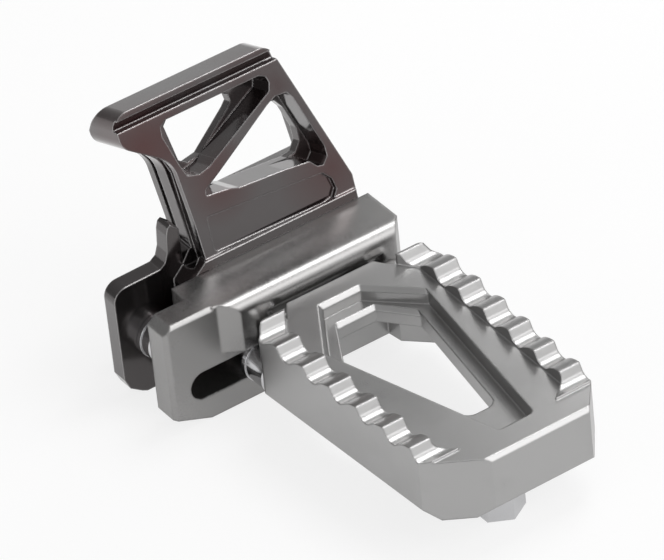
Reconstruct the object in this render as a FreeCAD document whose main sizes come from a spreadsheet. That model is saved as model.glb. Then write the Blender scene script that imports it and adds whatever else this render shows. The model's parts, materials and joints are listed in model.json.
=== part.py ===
import FreeCAD, Part
import Sketcher
import math
import os
import re
from FreeCAD import Placement, Rotation, Vector

# Wide folding footpeg on a slotted base and a leaning windowed bracket.
# X runs outward along the peg, Y along the hinge pin and Z up.
# While it is being built, the web of the peg lies at Z = 0 and the peg's middle line at Y = -1.5.

CELLS = {
    # where the built shape goes: the frame bolt's end face becomes the origin
    "shift_x": 59.6, "shift_y": 40.3, "shift_z": 12.6,
    "floor_z": -29.5,
    # peg
    "peg_mid": -1.5, "peg_tip": 66.0, "crest_z": 3.5, "peg_bottom": -18.9,
    "root_half": 29.4, "tip_half": 27.0, "root_x": -13.5, "taper_x": 55.5,
    "rear_x": -17.5, "tongue_x": -23.7, "tongue_half": 13.4, "shoulder_half": 21.7, "shoulder_x": -11.8,
    "inner_tip": 20.6, "row_end": 57.5,
    "tooth_first": -16.6, "tooth_pitch": 11.5, "tooth_count": 7,
    "pocket_depth": 4.5, "relief_deep": 9.6, "side_cut": 2.0, "side_cut_tip": 3.4, "end_cut": 2.8,
    "rim_edge": 1.2, "bright_edge": 0.9, "fine_edge": 0.5,
    # hinge
    "pin_x": -20.0, "pin_z": -6.0, "pin_rad": 3.0, "run_fit": 0.05, "barrel_rad": 5.0, "sweep_gap": 0.3,
    "barrel_near": -16.8, "barrel_far": 13.0, "ear_thick": 3.8, "washer_thick": 0.8, "face_gap": 0.15,
    "nose_x": -11.5, "nose_top": -8.6, "stop_gap": 0.02, "coil_rad": 4.2, "wire_thick": 1.0,
    # base
    "block_top": 5.1, "block_front": -25.1, "plate_front": -28.4, "block_back": -42.8,
    "leg_back": -36.6,
    "leg_end": -50.4, "leg_notch": -38.4, "block_end": 25.4, "ledge_z": -10.6, "nose_round": 3.8,
    "slot_z": -17.9, "slot_half": 4.4, "slot_near": -44.4, "slot_long": 27.2, "slot_step": 39.0,
    "slot_end_gap": 0.3,
    # bolts
    "bolt_rad": 4.0, "bolt_head": 6.5, "head_tall": 8.0, "washer_rad": 6.8, "washer_tall": 1.6,
    "hex_socket": 3.0, "socket_deep": 4.5, "nut_flat": 6.5, "nut_tall": 6.5, "bolt_long": 31.5,
    "hole_gap": 0.25, "thread_fit": 0.03,
    # bracket
    "pad_back": -59.6, "pad_near": -33.4, "pad_far": 22.0, "pad_wide": 26.6, "joint_gap": 0.05,
    "lobe_front": -49.6, "lobe_thick": 5.0, "lobe_end": -52.3, "lobe_top": 6.55,
    "hook_end": -39.8, "hook_tall": 9.0, "hook_round": 4.2, "lean": 20.0, "plate_thick": 16.4,
    "plate_tall": 50.2, "recess_deep": 8.7, "window_deep": 12.0,
    "frame_y": -40.3, "frame_z": -12.6, "frame_tail": 9.9, "frame_head": 4.4,
    "waist_rad": 3.6, "waist_end": 2.0,
    # feeler bolt
    "feeler_x": 52.0, "feeler_y": -3.0, "feeler_deep": 11.0, "feeler_rad": 6.2,
}

doc = FreeCAD.newDocument("Footpeg")
sheet = doc.addObject("Spreadsheet::Sheet", "Dims")
for row, (alias, number) in enumerate(CELLS.items(), 1):
    sheet.set("A%d" % row, alias)
    sheet.set("B%d" % row, repr(number))
    sheet.setAlias("B%d" % row, alias)
doc.recompute()

NAME = re.compile("|".join(sorted(CELLS, key=len, reverse=True)))


def bound(text):
    """The same expression with every cell named through the sheet."""
    return NAME.sub(lambda found: "Dims." + found.group(), text)


def value(text):
    """The number that an expression over the sheet's cells stands for now."""
    return float(getattr(sheet.evalExpression(str(text)), "Value", sheet.evalExpression(str(text))))


def bind(thing, prop, text):
    """Tie one property of a feature to an expression."""
    thing.setExpression(prop, bound(text))


def new_body(label):
    """A sub-part whose placement carries the whole build into the part's frame."""
    made = doc.addObject("PartDesign::Body", "Body_" + label)
    made.Label = label
    for axis in "xyz":
        made.setExpression("Placement.Base." + axis, "Dims.shift_" + axis)
    return made


def sketch(body, plane, loops, offset=None, turn=None):
    """Closed outlines on an origin plane; every corner is a pair of expressions."""
    made = body.newObject("Sketcher::SketchObject", "Sketch")
    support = [item for item in body.Origin.OriginFeatures if item.Role == plane][0]
    made.AttachmentSupport = [(support, "")]
    made.MapMode = "FlatFace"
    made.AttachmentOffset = Placement(offset or Vector(), turn or Rotation())
    for loop in loops:
        if loop[0] == "circle":
            centre = Vector(value(loop[1]), value(loop[2]), 0)
            index = made.addGeometry(Part.Circle(centre, Vector(0, 0, 1), value(loop[3])), False)
            pin_point(made, index, 3, centre, loop[1:3])
            label = made.addConstraint(Sketcher.Constraint("Radius", index, value(loop[3])))
            made.setExpression("Constraints[%d]" % label, bound(str(loop[3])))
            continue
        corners = [Vector(value(u), value(v), 0) for u, v in loop]
        first = made.GeometryCount
        count = len(corners)
        for step in range(count):
            made.addGeometry(Part.LineSegment(corners[step], corners[(step + 1) % count]), False)
        for step in range(count):
            after = first + (step + 1) % count
            made.addConstraint(Sketcher.Constraint("Coincident", first + step, 2, after, 1))
            pin_point(made, first + step, 1, corners[step], loop[step])
    return made


def pin_point(made, index, end, where, words):
    """Hold one point of a sketch at its two distances from the sketch's origin."""
    for kind, number, text in zip(("DistanceX", "DistanceY"), where, words):
        label = made.addConstraint(Sketcher.Constraint(kind, -1, 1, index, end, number))
        if NAME.search(str(text)):
            made.setExpression("Constraints[%d]" % label, bound(str(text)))


def pad(body, profile, length, both=False, back=False):
    """Add the outline's sweep."""
    made = body.newObject("PartDesign::Pad", "Pad")
    made.Profile = profile
    bind(made, "Length", length)
    made.Midplane = both
    made.Reversed = back
    doc.recompute()
    return made


def pocket(body, profile, length=None, both=False, back=False, slant=None):
    """Cut the outline's sweep away: right through without a length, along the slant where one is given."""
    before = body.Shape.Volume
    made = body.newObject("PartDesign::Pocket", "Pocket")
    made.Profile = profile
    if length is None:
        made.Type = "ThroughAll"
    else:
        bind(made, "Length", length)
    made.Midplane = both
    made.Reversed = back
    if slant:
        made.UseCustomVector = True
        made.Direction = slant
    doc.recompute()
    if body.Shape.Volume > before - 0.01:
        raise RuntimeError("nothing cut in " + body.Label + " by " + profile.Name)
    return made


def edges_near(body, spots, along=None, reach=0.25):
    """Names of the edges whose middle lies at, or which run through, one of the given spots."""
    found = []
    shape = body.Tip.Shape
    for index, edge in enumerate(shape.Edges, 1):
        if edge.Degenerated or edge.Length < 0.2:
            continue
        if along is not None:
            ends = edge.Vertexes
            if len(ends) < 2:
                continue
            way = (ends[-1].Point - ends[0].Point).normalize()
            if abs(abs(way.dot(along)) - 1) > 1e-3:
                continue
        for spot in spots:
            if edge.distToShape(Part.Vertex(Vector(*spot)))[0] < reach:
                found.append("Edge%d" % index)
                break
    return found


def round_off(body, kind, names, size):
    """Fillet or chamfer the named edges of the body's tip."""
    base = body.Tip
    made = body.newObject("PartDesign::" + kind, kind)
    made.Base = (base, names)
    bind(made, "Radius" if kind == "Fillet" else "Size", size)
    doc.recompute()
    if not made.Shape.isValid() or "Invalid" in made.State or made.Shape.isNull():
        raise RuntimeError(kind + " failed on " + body.Label)
    return made


def washer(label, at, axis, inner, outer, thick):
    """A flat ring; its near face is at the given point and it grows along the axis."""
    body = new_body(label)
    plane = {"x": "YZ_Plane", "y": "XZ_Plane", "z": "XY_Plane"}[axis]
    spot = flat(at, axis)
    loops = [("circle", spot[0], spot[1], outer), ("circle", spot[0], spot[1], inner)]
    made = sketch(body, plane, loops, Vector(0, 0, spot[2]))
    pad(body, made, thick)
    return body


def flat(at, axis):
    """Sketch coordinates of a point, and its distance along the plane's own normal."""
    if axis == "x":
        return at[1], at[2], value(at[0])
    if axis == "y":
        return at[0], at[2], -value(at[1])
    return at[0], at[1], value(at[2])


def hexagon(u, v, flat_half):
    """A hexagon with the given half width across its flats."""
    reach = "(%s) / cos(30)" % flat_half
    corners = []
    for step in range(6):
        angle = 60 * step
        corners.append(("%s + %s * cos(%d)" % (u, reach, angle),
                        "%s + %s * sin(%d)" % (v, reach, angle)))
    return corners


def cap_bolt(label, y, z, head_back, shank, head_radius="bolt_head", tall="head_tall"):
    """Socket cap screw along X: the head stands in front of head_back and the shank runs to -X."""
    body = new_body(label)
    head = sketch(body, "YZ_Plane", [("circle", y, z, head_radius)], Vector(0, 0, value(head_back)))
    pad(body, head, tall)
    stem = sketch(body, "YZ_Plane", [("circle", y, z, "bolt_rad")], Vector(0, 0, value(head_back)))
    pad(body, stem, shank, back=True)
    front = value(head_back) + value(tall)
    socket = sketch(body, "YZ_Plane", [hexagon(y, z, "hex_socket")], Vector(0, 0, front))
    pocket(body, socket, "0.55 * (%s)" % tall)
    rim = edges_near(body, [(front, value(y) + value(head_radius), value(z))])
    round_off(body, "Fillet", rim, "bright_edge")
    tail = edges_near(body, [(value(head_back) - value(shank), value(y) + value("bolt_rad"), value(z))])
    round_off(body, "Chamfer", tail, "bright_edge")
    return body


# ---------------------------------------------------------------- peg
peg = new_body("peg")
slab = sketch(peg, "XY_Plane", [[
    ("tongue_x", "peg_mid - tongue_half"), ("rear_x", "peg_mid - 17.7"),
    ("rear_x", "peg_mid - root_half + 3.9"),
    ("root_x", "peg_mid - root_half"), ("taper_x", "peg_mid - tip_half"), ("peg_tip", "-12.7"),
    ("peg_tip", "18.4"), ("57.3", "peg_mid + tip_half - 0.1"), ("root_x", "peg_mid + root_half"),
    ("rear_x", "peg_mid + root_half - 3.9"), ("rear_x", "peg_mid + 17.7"),
    ("tongue_x", "peg_mid + tongue_half"),
]], Vector(0, 0, value("peg_bottom")))
pad(peg, slab, "crest_z - peg_bottom")

# the lower edges of both sides are cut back, more towards the tip, and so is the end's
for side in (-1, 1):
    wall = "peg_mid + %d * root_half" % side
    wedge = sketch(peg, "YZ_Plane", [[
        ("%s + %d * 3" % (wall, side), "peg_bottom + side_cut + 3"),
        ("%s + %d * 3" % (wall, side), "peg_bottom - 8"),
        ("%s - %d * (side_cut + 8)" % (wall, side), "peg_bottom - 8"),
    ]], Vector(0, 0, value("root_x") - 8))
    slope = Vector(value("taper_x - root_x"), -side * value("root_half - tip_half"),
                   value("side_cut_tip - side_cut"))
    pocket(peg, wedge, "peg_tip - root_x + 14", slant=slope)
end_wedge = sketch(peg, "XZ_Plane", [[
    ("peg_tip - end_cut - 1", "peg_bottom - 1"), ("peg_tip + 3", "peg_bottom - 1"),
    ("peg_tip + 3", "peg_bottom + end_cut + 3"),
]])
pocket(peg, end_wedge, "4 * root_half", both=True)

# toothed rows: one valley, repeated along the peg
valley = peg.newObject("Sketcher::SketchObject", "Valley")
valley.AttachmentSupport = [([item for item in peg.Origin.OriginFeatures if item.Role == "XZ_Plane"][0], "")]
valley.MapMode = "FlatFace"
crest = Vector(value("tooth_first"), value("crest_z"), 0)
curve = [Vector(0, 0, 0), Vector(1.3, -2.2, 0), Vector(2.8, -3.0, 0), Vector(5.0, -2.85, 0),
         Vector(8.2, -0.75, 0), Vector(10.9, 0, 0)]
curve = [crest + point for point in curve]
valley.addGeometry(Part.LineSegment(curve[0], curve[1]), False)
valley.addGeometry(Part.Arc(curve[1], curve[2], curve[3]), False)
valley.addGeometry(Part.Arc(curve[3], curve[4], curve[5]), False)
above = [curve[5] + Vector(0, 2, 0), curve[0] + Vector(0, 2, 0)]
valley.addGeometry(Part.LineSegment(curve[5], above[0]), False)
valley.addGeometry(Part.LineSegment(above[0], above[1]), False)
valley.addGeometry(Part.LineSegment(above[1], curve[0]), False)
for first, one, second, other in ((0, 2, 1, 1), (1, 2, 2, 1), (2, 2, 3, 1), (3, 2, 4, 1),
                                  (4, 2, 5, 1), (5, 2, 0, 1)):
    pairs = {1: valley.getPoint(second, other)}
    near = 1 if (valley.getPoint(first, 1) - pairs[1]).Length < 1e-6 else 2
    if (valley.getPoint(first, near) - pairs[1]).Length > 1e-6:
        other = 2
    valley.addConstraint(Sketcher.Constraint("Coincident", first, near, second, other))
groove = peg.newObject("PartDesign::Pocket", "Tooth_Valley")
groove.Profile = valley
groove.Type = "Length"
bind(groove, "Length", "2 * root_half + 20")
groove.Midplane = True
doc.recompute()
teeth = peg.newObject("PartDesign::LinearPattern", "Teeth")
teeth.Originals = [groove]
teeth.Direction = (valley, ["H_Axis"])
bind(teeth, "Length", "tooth_pitch * (tooth_count - 1)")
bind(teeth, "Occurrences", "tooth_count")
peg.Tip = teeth
doc.recompute()

# the web between the rows, open at the tip
web = sketch(peg, "XY_Plane", [[
    ("tongue_x - 3", "peg_mid - tongue_half + 1.5"), ("shoulder_x", "peg_mid - shoulder_half"),
    ("53", "peg_mid - inner_tip"), ("row_end", "peg_mid - 15.3"), ("row_end", "peg_mid - 40"),
    ("peg_tip + 3", "peg_mid - 40"), ("peg_tip + 3", "peg_mid + 40"), ("row_end", "peg_mid + 40"),
    ("row_end", "peg_mid + 15.3"), ("53", "peg_mid + inner_tip"),
    ("shoulder_x", "peg_mid + shoulder_half"),
    ("tongue_x - 3", "peg_mid + tongue_half - 1.5"),
]], Vector(0, 0, value("crest_z") + 1))
pocket(peg, web, "crest_z + 1")

# stepped pocket and the window through it
hollow = sketch(peg, "XY_Plane", [[
    ("-15.6", "peg_mid - 7.4"), ("-15.6", "peg_mid + 4.8"), ("-2.5", "peg_mid + 17.5"),
    ("57.6", "peg_mid + 8.3"), ("57.6", "peg_mid - 3"), ("3", "peg_mid - 18.3"),
]])
pocket(peg, hollow, "pocket_depth")
window = sketch(peg, "XY_Plane", [[
    ("-11", "peg_mid - 6.5"), ("-11", "peg_mid + 6"), ("-1", "peg_mid + 13.6"),
    ("43.5", "peg_mid + 6.2"), ("43.5", "peg_mid - 2.7"), ("3.5", "peg_mid - 14.2"),
]])
pocket(peg, window)

relief = sketch(peg, "XY_Plane", [[
    ("-15.2", "peg_mid - 12"), ("-15.2", "peg_mid + 12"), ("-10.4", "peg_mid + 12.6"),
    ("-2", "peg_mid + 20.6"), ("42", "peg_mid + 14.2"), ("45", "peg_mid + 11"),
    ("45", "peg_mid - 4"), ("4", "peg_mid - 16.6"),
]], Vector(0, 0, value("peg_bottom")))
pocket(peg, relief, "relief_deep", back=True)

down = Vector(0, 0, 1)
mid = value("peg_mid")
low = value("peg_bottom") + 6
tips = [(57.6, mid + 8.3, -2), (57.6, mid - 3, -2)]
round_off(peg, "Fillet", edges_near(peg, tips, down), "bright_edge * 2")
ends = [(43.5, mid + 6.2, -7), (43.5, mid - 2.7, -7)]
round_off(peg, "Fillet", edges_near(peg, ends, down), "bright_edge * 4")
backs = [(value("root_x"), mid - value("root_half"), low),
         (value("rear_x"), mid - value("root_half") + 3.9, low),
         (value("root_x"), mid + value("root_half"), low),
         (value("rear_x"), mid + value("root_half") - 3.9, low)]
round_off(peg, "Fillet", edges_near(peg, backs, down), "bright_edge * 2.5")

# hinge end: the tongue's underside, the ears' notches and the spring's room
under = sketch(peg, "XZ_Plane", [[
    ("rear_x - 20", "pin_z - barrel_rad"), ("rear_x + 1.5", "pin_z - barrel_rad"),
    ("rear_x + 1.5", "peg_bottom - 2"), ("rear_x - 20", "peg_bottom - 2"),
]], Vector(0, 0, 20.5))
pocket(peg, under, "38")
for low_y, high_y in (("-24.3", "barrel_near"), ("barrel_far", "20.5")):
    ear_room = sketch(peg, "XZ_Plane", [("circle", "pin_x", "pin_z", "barrel_rad + sweep_gap")],
                      Vector(0, 0, -value(low_y)))
    pocket(peg, ear_room, "%s - (%s)" % (high_y, low_y))
for low_y, high_y in (("-24.3", "-17.6"), ("13.8", "20.5")):
    nose_room = sketch(peg, "XZ_Plane", [[
        ("pin_x - 8", "nose_top + stop_gap"), ("nose_x + 0.3", "nose_top + stop_gap"),
        ("nose_x + 0.3", "peg_bottom - 2"), ("pin_x - 8", "peg_bottom - 2"),
    ]], Vector(0, 0, -value(low_y)))
    pocket(peg, nose_room, "%s - (%s)" % (high_y, low_y))
corner = sketch(peg, "XZ_Plane", [[
    ("tongue_x - 3", "pin_z + 2.64"), ("pin_x - 3.36 - 0.3", "pin_z + 2.64"), ("pin_x - 4.7", "pin_z"),
    ("pin_x - 3.6", "pin_z - 3.3"), ("pin_x - 1", "pin_z - 4.9"), ("pin_x - 1", "pin_z - 8"),
    ("tongue_x - 3", "pin_z - 8"),
]], Vector(0, 0, -value("barrel_near") + 2))
pocket(peg, corner, "barrel_far - barrel_near + 4")
bore = sketch(peg, "XZ_Plane", [("circle", "pin_x", "pin_z", "pin_rad + run_fit")])
pocket(peg, bore, "4 * root_half", both=True)
coil_room = sketch(peg, "XZ_Plane", [("circle", "pin_x", "pin_z", "coil_rad + sweep_gap")],
                   Vector(0, 0, 7))
pocket(peg, coil_room, "11.5")
coil_gate = sketch(peg, "XZ_Plane", [[
    ("pin_x - coil_rad - sweep_gap", "pin_z"), ("pin_x + coil_rad + sweep_gap", "pin_z"),
    ("pin_x + coil_rad + sweep_gap", "pin_z - 8"), ("pin_x - coil_rad - sweep_gap", "pin_z - 8"),
]], Vector(0, 0, 7))
pocket(peg, coil_gate, "11.5")

rear_edge = sketch(peg, "XZ_Plane", [[
    ("tongue_x - 2", "fine_edge * -1.6"), ("tongue_x", "fine_edge * -1.6"),
    ("tongue_x + fine_edge * 1.6", "0"),
    ("tongue_x + fine_edge * 1.6", "2"), ("tongue_x - 2", "2"),
]])
pocket(peg, rear_edge, "root_half * 2", both=True)

# threaded hole for the feeler bolt
feeler_hole = sketch(peg, "XY_Plane", [("circle", "feeler_x", "feeler_y", "bolt_rad + thread_fit")],
                     Vector(0, 0, value("peg_bottom")))
pocket(peg, feeler_hole, "feeler_deep + 0.8", back=True)

# bright chamfers
rim = [(value("peg_tip"), 0, 0)]
round_off(peg, "Chamfer", edges_near(peg, rim), "bright_edge + 0.2")
rim = [(-15.6, mid - 1, 0), (-9, mid + 11.2, 0), (-6.5, mid - 12.7, 0), (-11, mid - 0.5, -4.5),
       (-6, mid + 9.8, -4.5)]
round_off(peg, "Chamfer", edges_near(peg, rim, reach=0.35), "rim_edge")

# ---------------------------------------------------------------- base
base = new_body("base")
plan = sketch(base, "XY_Plane", [[
    ("plate_front - 1", "leg_end"), ("plate_front", "leg_end + 1"), ("plate_front", "-33.7"),
    ("block_front", "-28.3"),
    ("block_front", "21.8"), ("block_front - 4.1", "block_end"), ("block_back", "block_end"),
    ("block_back", "leg_notch"), ("leg_back", "leg_notch"), ("leg_back", "leg_end"),
]], Vector(0, 0, value("floor_z")))
pad(base, plan, "block_top - floor_z")
below = sketch(base, "XZ_Plane", [[
    ("plate_front", "ledge_z"), ("block_front + 5", "ledge_z"), ("block_front + 5", "floor_z - 2"),
    ("plate_front", "floor_z - 2"),
]])
pocket(base, below, "4 * root_half", both=True)
foot = sketch(base, "YZ_Plane", [[
    ("leg_end - 3", "floor_z - 2"), ("leg_end - 3", "-25.1"), ("leg_end", "-25.1"), ("-39", "floor_z"),
    ("-39", "floor_z - 2"),
]])
pocket(base, foot, "8 * root_half", both=True)
nose = edges_near(base, [(value("block_front"), 0, value("block_top"))])
round_off(base, "Fillet", nose, "nose_round")
brow = sketch(base, "XZ_Plane", [[
    ("plate_front - bright_edge", "block_top + 0.001"), ("plate_front + 0.001",
                                                         "block_top - bright_edge"),
    ("plate_front + 1", "block_top - bright_edge"), ("plate_front + 1", "block_top + 1"),
    ("plate_front - bright_edge", "block_top + 1"),
]], Vector(0, 0, -value("leg_end") + 1))
pocket(base, brow, "16.5")
shoulder = sketch(base, "YZ_Plane", [[
    ("leg_end - 2", "block_top - 2.4"), ("leg_end", "block_top - 2.4"), ("leg_end + 2.4", "block_top"),
    ("leg_end + 2.4", "block_top + 2"), ("leg_end - 2", "block_top + 2"),
]])
pocket(base, shoulder, "8 * root_half", both=True)
for start in ("slot_near", "slot_near + slot_step"):
    middle = [("%s + slot_half" % start, "slot_z - slot_half"),
              ("%s + slot_long - slot_half" % start, "slot_z - slot_half"),
              ("%s + slot_long - slot_half" % start, "slot_z + slot_half"),
              ("%s + slot_half" % start, "slot_z + slot_half")]
    pocket(base, sketch(base, "YZ_Plane", [middle]), "8 * root_half", both=True)
    for end in ("%s + slot_half" % start, "%s + slot_long - slot_half" % start):
        pocket(base, sketch(base, "YZ_Plane", [("circle", end, "slot_z", "slot_half")]),
               "8 * root_half", both=True)

# ears that carry the pin, with the stop noses below them
ears = (("barrel_near - washer_thick - 2 * face_gap - ear_thick", "Near"),
        ("barrel_far + washer_thick + 2 * face_gap", "Far"))
swing = sketch(base, "XZ_Plane", [[
    ("block_front - 2.6", "-1.2"), ("block_front + 2", "-1.2"),
    ("block_front + 2", "pin_z - barrel_rad - 6"),
    ("block_front - 2.6", "pin_z - barrel_rad - 6"),
]], Vector(0, 0, 20.2))
pocket(base, swing, "37.5")
for low_y, word in ears:
    ear = sketch(base, "XZ_Plane", [("circle", "pin_x", "pin_z", "barrel_rad")],
                 Vector(0, 0, -value(low_y) - value("ear_thick")))
    pad(base, ear, "ear_thick")
    root = sketch(base, "XZ_Plane", [[
        ("block_front - 3.5", "pin_z - barrel_rad"), ("nose_x", "pin_z - barrel_rad"),
        ("nose_x", "nose_top"),
        ("pin_x", "nose_top"), ("pin_x", "-4.2"), ("block_front - 3.5", "-4.2"),
    ]], Vector(0, 0, -value(low_y) - value("ear_thick")))
    pad(base, root, "ear_thick")
pin_hole = sketch(base, "XZ_Plane", [("circle", "pin_x", "pin_z", "pin_rad + run_fit")])
pocket(base, pin_hole, "4 * root_half", both=True)

# ---------------------------------------------------------------- hinge pin, clip, washers and spring
pin = new_body("hinge_pin")
pin_head_y = "barrel_near - washer_thick - 2 * face_gap - ear_thick - 0.1"
stem = sketch(pin, "XZ_Plane", [("circle", "pin_x", "pin_z", "pin_rad")], Vector(0, 0, -value("20.2")))
pad(pin, stem, "20.2 - (%s)" % pin_head_y)
head = sketch(pin, "XZ_Plane", [("circle", "pin_x", "pin_z", "pin_rad + 1.6")],
              Vector(0, 0, -value(pin_head_y)))
pad(pin, head, "2")
clip_y = "barrel_far + washer_thick + 2 * face_gap + ear_thick + 0.15"
groove_loops = [("circle", "pin_x", "pin_z", "pin_rad + 0.5"),
                ("circle", "pin_x", "pin_z", "pin_rad - 0.6")]
clip_seat = sketch(pin, "XZ_Plane", groove_loops, Vector(0, 0, -value(clip_y)))
pocket(pin, clip_seat, "1.1")
clip = washer("hinge_clip", ("pin_x", clip_y + " + 1.05", "pin_z"), "y", "pin_rad - 0.57",
              "pin_rad + 1.5", "1")
for word, face in (("near", "barrel_near - face_gap"), ("far", "barrel_far + washer_thick + face_gap")):
    washer("thrust_washer_" + word, ("pin_x", face, "pin_z"), "y", "pin_rad + run_fit",
           "barrel_rad - 0.3", "washer_thick")

turns = 8
wire = value("wire_thick")
coil = doc.addObject("Part::Feature", "Return_Spring")
coil.Label = "return_spring"
loop_rad = value("coil_rad") - wire / 2
pitch = wire + 0.15
path = Part.makeHelix(pitch, pitch * turns, loop_rad)
circle = Part.Wire(Part.makeCircle(wire / 2, Vector(loop_rad, 0, 0), Vector(0, 1, 0)))
spiral = Part.Wire(path).makePipeShell([circle], True, True)
coil.Shape = spiral
coil.Placement = Placement(Vector(value("pin_x + shift_x"), value("2.9 + shift_y"),
                                  value("pin_z + shift_z")),
                           Rotation(Vector(1, 0, 0), 90))

# ---------------------------------------------------------------- bracket
bracket = new_body("bracket")
foot_pad = sketch(bracket, "YZ_Plane", [[
    ("pad_near", "floor_z"), ("pad_wide", "floor_z"), ("pad_wide", "-9"), ("pad_far", "-9"),
    ("pad_far", "8"),
    ("-27", "8"), ("pad_near", "2"),
]], Vector(0, 0, value("pad_back")))
pad(bracket, foot_pad, "block_back - joint_gap - pad_back")
lobe = sketch(bracket, "YZ_Plane", [[
    ("lobe_end", "-22.7"), ("lobe_end + 1.5", "-26.2"), ("lobe_end + 5", "-28.7"), ("-45.7", "floor_z"),
    ("-30", "floor_z"), ("-30", "17"), ("-32.4", "19.2"), ("-33.4", "18.6"), ("-34", "16.5"),
    ("-34.4", "11"),
    ("-35.4", "lobe_top + 1.6"), ("-37.2", "lobe_top + 0.3"),
    ("lobe_end", "lobe_top"),
]], Vector(0, 0, value("lobe_front") - value("lobe_thick")))
pad(bracket, lobe, "lobe_thick")
lobe_corner = (value("lobe_front") - value("lobe_thick") / 2, value("lobe_end"), value("lobe_top"))
round_off(bracket, "Fillet", edges_near(bracket, [lobe_corner], Vector(1, 0, 0)), "hook_round")

# leaning plate: its front face rises from the block's back edge, tilted back by the lean
tilt = Rotation(Vector(1, 0, 0), -value("lean"))
hinge_line = Vector(0, value("block_top"), value("block_back"))


def leaning(loops, ahead=0.0):
    """Sketch on the plate's front face; ahead is the distance in front of that face."""
    lift = Vector(0, math.sin(math.radians(value("lean"))), math.cos(math.radians(value("lean"))))
    return sketch(bracket, "YZ_Plane", loops, hinge_line + lift * ahead, tilt)


def leaning_side(corners):
    """Corners in the plate's own height and depth, as X and Z of the upright plane across it."""
    slope = math.radians(value("lean"))
    made = []
    for tall, deep in corners:
        across = value("block_back") - tall * math.sin(slope) - deep * math.cos(slope)
        made.append((repr(across),
                     repr(value("block_top") + tall * math.cos(slope) - deep * math.sin(slope))))
    return made


plate = leaning([[
    ("-26.2", "-6"), ("-26.2", "13"), ("-27", "plate_tall - 18.2"),
    ("hook_end", "plate_tall - hook_tall"), ("hook_end", "plate_tall"), ("9.8", "plate_tall"),
    ("22.6", "6.9"), ("21.9", "-6"),
]])
pad(bracket, plate, "plate_thick", back=True)
facing = Vector(math.cos(math.radians(value("lean"))), 0, math.sin(math.radians(value("lean"))))


def on_plate(across, tall, deep):
    """A point of the plate given across, up its face and behind its face."""
    slope = math.radians(value("lean"))
    return (value("block_back") - tall * math.sin(slope) - deep * math.cos(slope), across,
            value("block_top") + tall * math.cos(slope) - deep * math.sin(slope))


high = value("plate_tall")
hook = value("hook_end")
low_hook = high - value("hook_tall")
for across, tall, size in ((hook, high, "hook_round"), (hook, low_hook, "hook_round"),
                           (9.8, high, "hook_round"),
                           (-27, high - 18.2, "2 * hook_round")):
    round_off(bracket, "Fillet", edges_near(bracket, [on_plate(across, tall, 8)], facing), size)
heel = sketch(bracket, "YZ_Plane", [[
    ("pad_near", "-30"), ("pad_far + 5", "-30"), ("pad_far + 5", "block_top"),
    ("pad_near", "block_top"),
]], Vector(0, 0, value("block_back") - value("joint_gap")))
pocket(bracket, heel, "40", back=True)
brow = sketch(bracket, "XZ_Plane", [leaning_side([
    (high + 0.2, 10.2), (high + 6, 10.2), (high + 6, 24), (high - 7, 17.4),
])])
pocket(bracket, brow, "4 * root_half", both=True)
lip = sketch(bracket, "XZ_Plane", [leaning_side([
    (value("plate_tall") - 1.7, -2), (value("plate_tall") - 1.7, 1.3), (value("plate_tall") - 4.4, 2.4),
    (value("plate_tall") - 4.5, 1.0), (value("plate_tall") - 5.2, -2),
])])
pocket(bracket, lip, "4 * root_half", both=True)

# deep recesses on both sides of the diagonal rib, each with a window through its floor
recesses = [[("-27.6", "plate_tall - 10.8"), ("-27.2", "plate_tall - 8"),
             ("-25.4", "plate_tall - 6.8"), ("4.4", "plate_tall - 6.8"), ("6.4", "plate_tall - 7.8"),
             ("6.9", "plate_tall - 9.8"),
             ("6.1", "plate_tall - 12"), ("-17", "26.4"), ("-20.5", "25.6"), ("-24.0", "26.6"),
             ("-25.2", "plate_tall - 20.2")],
            [("-20.4", "19.2"), ("-20.2", "20.8"), ("-15", "23.6"), ("4.6", "plate_tall - 15.2"),
             ("7.4", "plate_tall - 14"), ("11.2", "plate_tall - 14.4"),
             ("12.2", "plate_tall - 16"), ("17.1", "17.4"), ("17.0", "14.6"), ("15.2", "12.8"),
             ("13.4", "13.2"), ("11.5", "15.4")]]
for outline in recesses:
    pocket(bracket, leaning([outline]), "recess_deep")
windows = [[("-22.4", "plate_tall - 11.2"), ("-20.6", "plate_tall - 9.4"),
            ("-4.0", "plate_tall - 9.4"), ("-1.7", "plate_tall - 10.8"),
            ("-1.5", "plate_tall - 12.8"), ("-3.2", "plate_tall - 14.4"),
            ("-14.6", "27.6"), ("-19.0", "26.9"), ("-21.2", "28.6")],
           [("-14.6", "18.8"), ("-13.8", "20.8"), ("8.0", "plate_tall - 17.4"),
            ("11.0", "plate_tall - 18"), ("12.9", "plate_tall - 20.8"), ("14.8", "22.8"),
            ("14.6", "19"), ("12.4", "16.4"), ("9.6", "15.9"), ("-10.6", "17.4")]]
for outline in windows:
    pocket(bracket, leaning([outline], 5), "plate_thick + 30")
rear_room = leaning([[("-22.6", "24"), ("-22.6", "plate_tall - 9.2"), ("1", "plate_tall - 9.2"),
                      ("9", "plate_tall - 15.2"), ("15.5", "plate_tall - 19.2"), ("16", "15.8"),
                      ("-13", "15.8")]],
                    -value("plate_thick"))
pocket(bracket, rear_room, "plate_thick - window_deep", back=True)
shallow = [("-22.8", "4.6"), ("-21.6", "3.2"), ("12.2", "2.4"), ("15.4", "3.0"), ("16.9", "5.0"),
           ("16.4", "8.2"),
           ("14.2", "10.8"), ("-22.2", "13.6")]
pocket(bracket, leaning([shallow]), "1.6")

# grooves along the near side of the plate's leg
for deep, wide in ((2.0, "4.6"), (11.4, "2.4")):
    line = leaning([[("-30", "1.5"), ("-25.2", "1.5"), ("-25.2", "plate_tall - 23.2"),
                     ("-26.4", "plate_tall - 19.2"), ("-30", "plate_tall - 15.2")]], -deep)
    pocket(bracket, line, wide)

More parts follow.
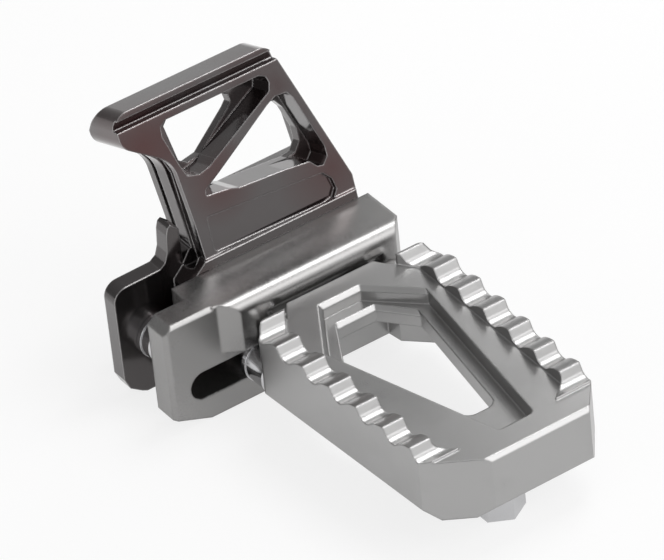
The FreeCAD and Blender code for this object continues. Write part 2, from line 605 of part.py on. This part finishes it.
# nut pockets and clearance holes for the base bolts, and the frame bolt's hole
bolt_near = "slot_near + slot_long - bolt_rad - slot_end_gap"
bolt_far = bolt_near + " + slot_step"
for y in (bolt_near, bolt_far):
    shaft = sketch(bracket, "YZ_Plane", [("circle", y, "slot_z", "bolt_rad + hole_gap")])
    pocket(bracket, shaft, "8 * root_half", both=True)
    seat = sketch(bracket, "YZ_Plane", [("circle", y, "slot_z", "nut_flat + 1.25")],
                  Vector(0, 0, value("pad_back")))
    pocket(bracket, seat, "nut_tall + washer_tall + 0.6", back=True)
frame_hole = sketch(bracket, "YZ_Plane", [("circle", "frame_y", "frame_z", "bolt_rad + hole_gap")])
pocket(bracket, frame_hole, "8 * root_half", both=True)

# ---------------------------------------------------------------- bolts, washers and nuts
for word, y in (("near", bolt_near), ("far", bolt_far)):
    cap_bolt("base_bolt_" + word, y, "slot_z", "plate_front + 0.05 + washer_tall + 0.02", "bolt_long")
    washer("base_washer_" + word, ("plate_front + 0.05", y, "slot_z"), "x", "bolt_rad + hole_gap",
           "washer_rad", "washer_tall")
    nut_back = "pad_back + 0.55"
    nut = new_body("base_nut_" + word)
    loops = [hexagon(y, "slot_z", "nut_flat"), ("circle", y, "slot_z", "bolt_rad + thread_fit")]
    pad(nut, sketch(nut, "YZ_Plane", loops, Vector(0, 0, value(nut_back))), "nut_tall")
    washer("nut_washer_" + word, (nut_back + " + nut_tall + 0.01", y, "slot_z"), "x",
           "bolt_rad + hole_gap",
           "washer_rad + 0.5", "washer_tall - 0.05")
frame_seat = "lobe_front + washer_tall + 0.04"
frame_bolt = cap_bolt("frame_bolt", "frame_y", "frame_z", frame_seat,
                      frame_seat + " - pad_back + frame_tail",
                      tall="frame_head")
waist = sketch(frame_bolt, "YZ_Plane", [
    ("circle", "frame_y", "frame_z", "bolt_rad + 1"), ("circle", "frame_y", "frame_z", "waist_rad"),
], Vector(0, 0, value(frame_seat)))
pocket(frame_bolt, waist, frame_seat + " - pad_back - waist_end")
washer("frame_washer", ("lobe_front + 0.02", "frame_y", "frame_z"), "x", "bolt_rad + hole_gap",
       "washer_rad", "washer_tall")

feeler = new_body("feeler_bolt")
spot = ("circle", "feeler_x", "feeler_y")
tip = sketch(feeler, "XY_Plane", [hexagon("feeler_x", "feeler_y", "feeler_rad")],
             Vector(0, 0, value("floor_z")))
pad(feeler, tip, "peg_bottom - washer_tall - 0.1 - floor_z")
stem = sketch(feeler, "XY_Plane", [spot + ("bolt_rad",)], Vector(0, 0, value("peg_bottom") - 2))
pad(feeler, stem, "feeler_deep + 2")
socket = sketch(feeler, "XY_Plane", [hexagon("feeler_x", "feeler_y", "hex_socket")],
                Vector(0, 0, value("floor_z")))
pocket(feeler, socket, "socket_deep", back=True)
washer("feeler_washer", ("feeler_x", "feeler_y", "peg_bottom - washer_tall - 0.05"), "z",
       "bolt_rad + hole_gap",
       "feeler_rad + 1.1", "washer_tall")

# ---------------------------------------------------------------- check and write
doc.recompute()
for thing in doc.Objects:
    if "Invalid" in thing.State or "Error" in thing.State:
        raise RuntimeError("failed: " + thing.Name)
os.makedirs("parts", exist_ok=True)
for thing in doc.Objects:
    if thing.TypeId not in ("PartDesign::Body", "Part::Feature"):
        continue
    shape = thing.Shape
    if shape.isNull() or not shape.isValid() or len(shape.Solids) != 1:
        raise RuntimeError("%s: null %s, solids %d" % (thing.Label, shape.isNull(), len(shape.Solids)))
    shape.exportStep("parts/%s.step" % thing.Label)
    box = shape.BoundBox
    print("%-20s %8.0f mm3  X %.1f %.1f  Y %.1f %.1f  Z %.1f %.1f" % (
        thing.Label, shape.Volume, box.XMin, box.XMax, box.YMin, box.YMax, box.ZMin, box.ZMax))
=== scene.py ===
"""A wide folding footpeg on its slotted base and leaning bracket, on a white studio floor."""

import json

import bpy
from mathutils import Matrix, Vector


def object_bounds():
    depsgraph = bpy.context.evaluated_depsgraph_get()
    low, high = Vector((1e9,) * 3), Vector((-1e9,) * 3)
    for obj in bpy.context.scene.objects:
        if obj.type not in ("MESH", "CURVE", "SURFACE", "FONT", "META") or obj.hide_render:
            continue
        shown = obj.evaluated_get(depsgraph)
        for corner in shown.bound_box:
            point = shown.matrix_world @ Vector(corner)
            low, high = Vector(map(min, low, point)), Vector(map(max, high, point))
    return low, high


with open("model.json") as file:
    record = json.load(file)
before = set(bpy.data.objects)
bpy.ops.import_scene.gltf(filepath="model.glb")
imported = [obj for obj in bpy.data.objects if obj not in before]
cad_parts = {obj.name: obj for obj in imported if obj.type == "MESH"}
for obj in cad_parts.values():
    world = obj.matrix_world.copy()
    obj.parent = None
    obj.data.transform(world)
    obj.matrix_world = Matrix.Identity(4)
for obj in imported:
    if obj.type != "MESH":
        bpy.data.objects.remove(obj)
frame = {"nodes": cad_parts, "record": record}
CAD_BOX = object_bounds()

# Painted edge highlight: the colour is lightened along every edge, within this reach and by this gain,
# towards this light grey, standing in for the light that chamfered edges catch.
EDGE_HIGHLIGHT_REACH = 0.0006
EDGE_HIGHLIGHT_GAIN = 4.0
PAINTED_EDGE_HIGHLIGHT = (0.55, 0.54, 0.54, 1.0)
BEVEL_SAMPLES = 6
CLOUD_SCALE = 55.0
PATCH_SCALE = 26.0
# Painted warm reflection: a reddish colour laid on the black finish at three listed places on the
# bracket, each with its reach and strength.
WARM_REFLECTION_RED = (0.055, 0.016, 0.015, 1.0)
WARM_REFLECTION_SPOTS = [((0.0036, 0.0062, 0.0539), 0.017, 1.1),
             ((0.0130, 0.0575, 0.0282), 0.017, 0.8),
             ((0.0096, 0.0247, 0.0376), 0.013, 0.9)]

FLOOR_HALF = 6.0
FLOOR_DROP = 0.0002
MIDDLE = (0.06, 0.035, 0.0)


# ------------------------------------------------------------------ shader words
class Sock:
    """One output socket, with the arithmetic that shader maths needs."""

    def __init__(self, tree, link):
        self.tree = tree
        self.link = link

    def node(self, kind, settings=None, inputs=None, out=0):
        """Add a node, give it its settings first and its sockets after, and return one output."""
        return add_node(self.tree, kind, settings, inputs, out)

    def _math(self, operation, a, b):
        return add_node(self.tree, "ShaderNodeMath", {"operation": operation}, {0: a, 1: b})

    def __add__(self, other):
        return self._math("ADD", self, other)

    def __rsub__(self, other):
        return self._math("SUBTRACT", other, self)

    def __mul__(self, other):
        return self._math("MULTIPLY", self, other)


def add_node(tree, kind, settings=None, inputs=None, out=0):
    """One node of the tree, with its settings, its values or links, and the output asked for."""
    made = tree.nodes.new(kind)
    for name, setting in (settings or {}).items():
        if name == "stops":
            ramp = made.color_ramp
            while len(ramp.elements) > len(setting):
                ramp.elements.remove(ramp.elements[-1])
            while len(ramp.elements) < len(setting):
                ramp.elements.new(1.0)
            for element, (place, colour) in zip(ramp.elements, setting):
                element.position = place
                element.color = (*colour, 1.0)
        else:
            setattr(made, name, setting)
    for name, given in (inputs or {}).items():
        socket = made.inputs[name]
        if isinstance(given, Sock):
            tree.links.new(given.link, socket)
        else:
            socket.default_value = given
    return Sock(tree, made.outputs[out]) if made.outputs else None


def new_material(name):
    """An empty node material with its output, and the tree to build in."""
    made = bpy.data.materials.new(name)
    made.use_nodes = True
    made.node_tree.nodes.clear()
    return made, made.node_tree


def noise(where, scale, detail, roughness):
    """A soft noise over the piece's own coordinates."""
    return where.node("ShaderNodeTexNoise", {"noise_dimensions": "3D"},
                      {"Vector": where, "Scale": scale, "Detail": detail, "Roughness": roughness})


def blend(share, below, above):
    """One colour over another, by the share given."""
    return share.node("ShaderNodeMix", {"data_type": "RGBA"}, {0: share, 6: below, 7: above}, out=2)


def machined_metal(name, colour, mottle, rough, metallic, grain, grain_size, edge_width,
                   warm_reflection_share=0.0, coat=0.0, edge_highlight_share=0.0, reflection_spots=()):
    """Milled and blasted metal: colour and roughness drift in soft clouds, fine grain breaks up the
    shine, and the normal is rounded over the edges by a small radius. The warm share turns the darker
    clouds reddish, a painted warm reflection; the edge highlight share lightens the colour along every
    edge, a painted highlight where the edges would catch the light; and each spot is a place, a reach
    and a strength where a painted reddish reflection is laid over the colour."""
    made, tree = new_material(name)
    where = add_node(tree, "ShaderNodeTexCoord", out=3)
    cloud = noise(where, CLOUD_SCALE, 3.0, 0.55)
    fine = noise(where, grain_size, 2.0, 0.6)
    patch = noise(where, PATCH_SCALE, 1.0, 0.4)
    # The darker clouds are tinted reddish by the warm share, a painted warm reflection spread in random
    # clouds.
    dark = [part * (1 - mottle) * (1 - warm_reflection_share * cooling)
            for cooling, part in zip((-0.5, 1.0, 1.0), colour)]
    light = [part * (1 + mottle) for part in colour]
    tint = cloud.node("ShaderNodeValToRGB", {"stops": [(0.34, dark), (0.5, light)]},
                      {0: cloud * 0.5 + patch * 0.5})
    # Painted warm reflection: the colour turns redder around each listed spot.
    for place, reach, strength in reflection_spots:
        away = where.node("ShaderNodeVectorMath", {"operation": "DISTANCE"}, {0: where, 1: place}, out=1)
        close = away.node("ShaderNodeMath", {"operation": "SUBTRACT", "use_clamp": True},
                          {0: 1.0, 1: away * (1.0 / reach)})
        tint = blend(close * strength, tint, WARM_REFLECTION_RED)
    # Painted highlight: the colour is lightened where the rounded normal turns away from the flat one,
    # that is along the edges.
    if edge_highlight_share:
        highlight_normal = where.node("ShaderNodeBevel", {"samples": BEVEL_SAMPLES}, {"Radius": EDGE_HIGHLIGHT_REACH})
        flat = where.node("ShaderNodeNewGeometry", out=1)
        level = highlight_normal.node("ShaderNodeVectorMath", {"operation": "DOT_PRODUCT"},
                          {0: highlight_normal, 1: flat}, out=1)
        edge = level.node("ShaderNodeMath", {"operation": "MULTIPLY", "use_clamp": True},
                          {0: 1 - level, 1: EDGE_HIGHLIGHT_GAIN})
        tint = blend(edge * edge_highlight_share, tint, PAINTED_EDGE_HIGHLIGHT)
    roughness = cloud * 0.08 + fine * 0.06 + (rough - 0.07)
    rounded = where.node("ShaderNodeBevel", {"samples": BEVEL_SAMPLES}, {"Radius": edge_width})
    bumped = where.node("ShaderNodeBump", None,
                        {"Strength": grain, "Distance": 0.0001, "Height": fine, "Normal": rounded})
    shader = tint.node("ShaderNodeBsdfPrincipled", None, {
        "Base Color": tint, "Roughness": roughness, "Metallic": metallic, "Normal": bumped,
        "Coat Weight": coat, "Coat Roughness": 0.12})
    add_node(tree, "ShaderNodeOutputMaterial", None, {"Surface": shader})
    return made


# name, colour, mottle, roughness, metallic, grain, grain size and the radius of the rounded edges
FINISH = {
    # The black finish carries painted reddish reflections and a painted highlight along its edges.
    "black_anodised": machined_metal(
        "black_anodised_gloss", (0.056, 0.050, 0.050), 0.30, 0.17, 0.9, 0.03, 9000.0, 0.0008,
        warm_reflection_share=0.3, coat=0.8, edge_highlight_share=0.8, reflection_spots=WARM_REFLECTION_SPOTS),
    "grey_anodised": machined_metal(
        "grey_anodised_satin", (0.31, 0.305, 0.302), 0.06, 0.28, 0.95, 0.15, 7000.0, 0.0010),
    "light_anodised": machined_metal(
        "light_anodised_satin", (0.385, 0.382, 0.38), 0.05, 0.30, 0.95, 0.15, 7000.0, 0.0007),
    "steel": machined_metal(
        "ground_steel", (0.55, 0.55, 0.55), 0.05, 0.28, 1.0, 0.05, 8000.0, 0.0002),
    "spring_steel": machined_metal(
        "oiled_spring_steel", (0.2, 0.2, 0.21), 0.1, 0.3, 1.0, 0.05, 8000.0, 0.0001),
    "plain_steel": machined_metal(
        "zinc_plated_steel", (0.62, 0.62, 0.6), 0.08, 0.3, 1.0, 0.05, 8000.0, 0.0002),
    "chrome_steel": machined_metal(
        "polished_chrome", (0.6, 0.6, 0.61), 0.04, 0.13, 1.0, 0.01, 8000.0, 0.0003),
}

SLOT_OF = {row["node"]: row["material_slot"] for row in frame["record"]["subparts"]}
for node_name, thing in frame["nodes"].items():
    for slot in thing.material_slots:
        slot.material = FINISH[SLOT_OF[node_name]]


# ------------------------------------------------------------------ floor, world, lights
def own_white(tree, direct, mirrored):
    """How far a white ground shows as its own white: to the camera itself or through something clear,
    and in a shiny surface."""
    camera_ray, mirror_ray, clear_ray = (
        add_node(tree, "ShaderNodeLightPath", out=kind)
        for kind in ("Is Camera Ray", "Is Glossy Ray", "Is Transmission Ray"))
    return (camera_ray + clear_ray) * direct + mirror_ray * mirrored


def floor_material():
    """White paper: what the camera sees is nearly all white of its own, so the ground stays white
    and keeps a soft shadow."""
    made, tree = new_material("white_floor")
    paper = add_node(tree, "ShaderNodeBsdfDiffuse", None, {"Color": (0.92, 0.92, 0.92, 1)})
    glow = add_node(tree, "ShaderNodeEmission", None, {"Color": (1, 1, 1, 1), "Strength": 1.0})
    seen = add_node(tree, "ShaderNodeMixShader", None, {0: own_white(tree, 0.8, 0.5), 1: paper, 2: glow})
    add_node(tree, "ShaderNodeOutputMaterial", None, {"Surface": seen})
    return made


floor_z = float(CAD_BOX[0][2]) - FLOOR_DROP
corners = [(FLOOR_HALF * x, FLOOR_HALF * y, floor_z) for x, y in ((-1, -1), (1, -1), (1, 1), (-1, 1))]
mesh = bpy.data.meshes.new("studio_floor")
mesh.from_pydata(corners, [], [(0, 1, 2, 3)])
floor = bpy.data.objects.new("studio_floor", mesh)
bpy.context.scene.collection.objects.link(floor)
mesh.materials.append(floor_material())

world = bpy.data.worlds.new("studio")
bpy.context.scene.world = world
world.use_nodes = True
world.node_tree.nodes.clear()
tree = world.node_tree
way = add_node(tree, "ShaderNodeTexCoord", out=0)
front_right = way.node("ShaderNodeVectorMath", {"operation": "DOT_PRODUCT"},
                       {0: way, 1: (0.70, 0.42, 0.58)}, out=1)
shades = [(place, (shade, shade, shade))
          for place, shade in ((0.0, 0.10), (0.35, 0.36), (0.75, 0.53), (0.95, 1.02))]
soft = front_right.node("ShaderNodeValToRGB", {"stops": shades}, {0: front_right * 0.5 + 0.5})
height = way.node("ShaderNodeSeparateXYZ", None, {0: way}, out=2)
level = height.node("ShaderNodeMath", {"operation": "ABSOLUTE"}, {0: height})
band = level.node("ShaderNodeMath", {"operation": "POWER"}, {0: 1 - level, 1: 5.0})
ambient = add_node(tree, "ShaderNodeBackground", None, {"Color": soft, "Strength": band * 0.75 + 0.72})
white = add_node(tree, "ShaderNodeBackground", None, {"Color": (1, 1, 1, 1), "Strength": 1.0})
chosen = add_node(tree, "ShaderNodeMixShader", None,
                  {0: own_white(tree, 1.0, 0.1), 1: ambient, 2: white})
add_node(tree, "ShaderNodeOutputWorld", None, {"Surface": chosen})


def softbox(name, centre, aim, size, power):
    """A square lamp at one point of the studio, turned to face another."""
    lamp = bpy.data.lights.new(name, "AREA")
    lamp.size = size
    lamp.energy = power
    thing = bpy.data.objects.new(name, lamp)
    bpy.context.scene.collection.objects.link(thing)
    thing.location = centre
    thing.rotation_euler = (Vector(aim) - Vector(centre)).to_track_quat("-Z", "Y").to_euler()


softbox("overhead_softbox", (-0.02, 0.47, 1.05), MIDDLE, 0.5, 4.4)
softbox("front_right_softbox", (0.95, 0.55, 0.85), MIDDLE, 0.85, 4.4)
softbox("back_right_strip", (-0.20, 0.34, 0.24), (0.03, 0.07, 0.0), 0.14, 0.17)
softbox("left_fill", (0.2, -1.2, 0.5), MIDDLE, 0.8, 2.5)

# ------------------------------------------------------------------ camera
RIGHT = Vector((0.56898, 0.81767, -0.08765))
DOWN = Vector((0.45653, -0.40272, -0.79334))
AHEAD = Vector((-0.68399, 0.41139, -0.60243))
lens = bpy.data.cameras.new("photo_camera")
lens.lens = 355.53
lens.sensor_width = 36.0
lens.clip_end = 50.0
camera = bpy.data.objects.new("photo_camera", lens)
bpy.context.scene.collection.objects.link(camera)
turn = Matrix((RIGHT, -DOWN, -AHEAD)).transposed().to_4x4()
camera.matrix_world = Matrix.Translation((1.226449, -0.675986, 1.060795)) @ turn
bpy.context.scene.camera = camera
bpy.context.scene.view_settings.view_transform = "Standard"
